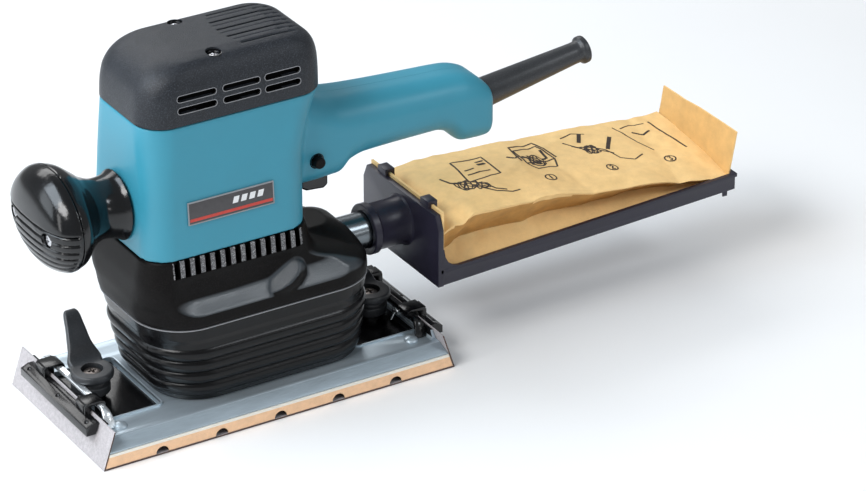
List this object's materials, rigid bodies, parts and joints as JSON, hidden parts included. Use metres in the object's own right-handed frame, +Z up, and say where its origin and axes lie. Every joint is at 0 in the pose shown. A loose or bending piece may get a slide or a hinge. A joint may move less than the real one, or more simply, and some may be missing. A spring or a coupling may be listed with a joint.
{
  "type": "orbital sander",
  "caption": "Two-handed half-sheet orbital sander with front knob, rear trigger handle, rubber skirt, cam-lever paper clamps and a paper dust bag on a tray.",
  "frame": {"origin": "centre of the sanding face, on the underside of the abrasive sheet", "axes": "+X along the tool to the rear handle and the dust bag, -X to the front knob, +Z up from the sanding face"},
  "size_m": [0.4513, 0.115, 0.2215],
  "materials": {
    "blue_plastic": "satin moulded plastic",
    "dark_grey_plastic": "fine texture",
    "black_plastic": "fine spark texture",
    "gloss_black_plastic": "polished",
    "black_rubber": "semi gloss",
    "lever_grey": "fine texture",
    "black_painted_steel": "gloss black",
    "base_aluminium": "pressed, satin",
    "pad_foam": "felted foam",
    "abrasive": "grit one side, paper back",
    "zinc_steel": "zinc plated",
    "nozzle_steel": "polished",
    "core_steel": "laminated",
    "copper": "enamelled wire",
    "brass": "plain",
    "carbon": "sintered",
    "fan_nylon": "plain",
    "plate_grey": "printed plate",
    "navy_plastic": "satin",
    "kraft_paper": "creased paper"
  },
  "bodies": {
    "housing": {"motor_housing": "blue_plastic", "handle_cover": "blue_plastic", "top_cover": "dark_grey_plastic", "cover_screw_near": "zinc_steel", "cover_screw_far": "zinc_steel", "nameplate": "plate_grey", "lower_housing": "black_plastic", "air_baffle": "black_plastic", "skirt": "black_rubber", "rubber_foot_1": "black_rubber", "rubber_foot_2": "black_rubber", "rubber_foot_3": "black_rubber", "rubber_foot_4": "black_rubber", "nozzle_pipe": "nozzle_steel", "knob_rear": "gloss_black_plastic", "knob_front": "gloss_black_plastic", "knob_screw_near": "zinc_steel", "knob_screw_far": "zinc_steel", "knob_bolt": "zinc_steel", "cord_guard": "black_rubber", "cord_clamp": "black_plastic", "switch_block": "black_plastic", "stator_core": "core_steel", "motor_bracket": "black_plastic", "brush_holder_near": "brass", "brush_holder_far": "brass", "brush_spring_near": "zinc_steel", "brush_spring_far": "zinc_steel", "upper_bearing": "zinc_steel", "lower_bearing": "zinc_steel"},
    "armature": {"armature_shaft": "zinc_steel", "armature_core": "core_steel", "lower_winding": "copper", "upper_winding": "copper", "commutator": "copper", "fan": "fan_nylon", "eccentric_weight": "core_steel"},
    "base": {"base_plate": "base_aluminium", "pad": "pad_foam", "abrasive_sheet": "abrasive", "pad_bearing": "zinc_steel", "tray_front": "black_painted_steel", "tray_rear": "black_painted_steel", "hinge_pin_front": "zinc_steel", "hinge_pin_rear": "zinc_steel", "lever_screw_front": "zinc_steel", "lever_screw_rear": "zinc_steel"},
    "front_jaw": {"jaw_front": "black_painted_steel"},
    "rear_jaw": {"jaw_rear": "black_painted_steel"},
    "front_lever": {"lever_front": "lever_grey"},
    "rear_lever": {"lever_rear": "lever_grey"},
    "trigger": {"trigger": "gloss_black_plastic"},
    "lock_button": {"lock_button": "gloss_black_plastic"},
    "near_brush": {"brush_near": "carbon"},
    "far_brush": {"brush_far": "carbon"},
    "dust_gear": {"bag_holder": "navy_plastic", "bag_card": "kraft_paper", "dust_bag": "kraft_paper"}
  },
  "joints": [
    {"name": "armature_spin", "type": "hinge", "parent": "housing", "child": "armature", "pos_m": [-0.018, 0, 0.1], "axis": [0, 0, 1], "continuous": true},
    {"name": "pad_orbit", "type": "hinge", "parent": "armature", "child": "base", "pos_m": [-0.0156, 0, 0.028], "axis": [0, 0, 1], "continuous": true, "deforming": ["skirt", "rubber_foot_1", "rubber_foot_2", "rubber_foot_3", "rubber_foot_4"]},
    {"name": "front_lever_turn", "type": "hinge", "parent": "base", "child": "front_lever", "pos_m": [-0.091, 0, 0.026], "axis": [0, 0, 1], "range_deg": [0, 90]},
    {"name": "front_jaw_tilt", "type": "hinge", "parent": "base", "child": "front_jaw", "pos_m": [-0.1015, 0, 0.025], "axis": [0, 1, 0], "range_deg": [0, 18]},
    {"name": "rear_lever_turn", "type": "hinge", "parent": "base", "child": "rear_lever", "pos_m": [0.091, 0, 0.026], "axis": [0, 0, -1], "range_deg": [0, 22]},
    {"name": "rear_jaw_tilt", "type": "hinge", "parent": "base", "child": "rear_jaw", "pos_m": [0.1015, 0, 0.025], "axis": [0, -1, 0], "range_deg": [0, 4.4]},
    {"name": "trigger_press", "type": "slide", "parent": "housing", "child": "trigger", "axis": [0, 0, 1], "range_m": [0, 0.005], "stiffness_N_per_m": 400},
    {"name": "lock_button_press", "type": "slide", "parent": "housing", "child": "lock_button", "axis": [0, 1, 0], "range_m": [0, 0.0035], "stiffness_N_per_m": 500},
    {"name": "near_brush_slide", "type": "slide", "parent": "housing", "child": "near_brush", "axis": [0, -1, 0], "range_m": [0, 0.004], "stiffness_N_per_m": 300, "springref_m": -0.004, "deforming": ["brush_spring_near"]},
    {"name": "far_brush_slide", "type": "slide", "parent": "housing", "child": "far_brush", "axis": [0, 1, 0], "range_m": [0, 0.004], "stiffness_N_per_m": 300, "springref_m": -0.004, "deforming": ["brush_spring_far"]},
    {"name": "bag_holder_slide", "type": "slide", "parent": "housing", "child": "dust_gear", "axis": [1, 0, 0], "range_m": [0, 0.035]}
  ],
  "couplings": [
    {"joint": "pad_orbit", "follows": "armature_spin", "ratio": -1},
    {"joint": "front_jaw_tilt", "follows": "front_lever_turn", "ratio": 0.2},
    {"joint": "rear_jaw_tilt", "follows": "rear_lever_turn", "ratio": 0.2}
  ]
}
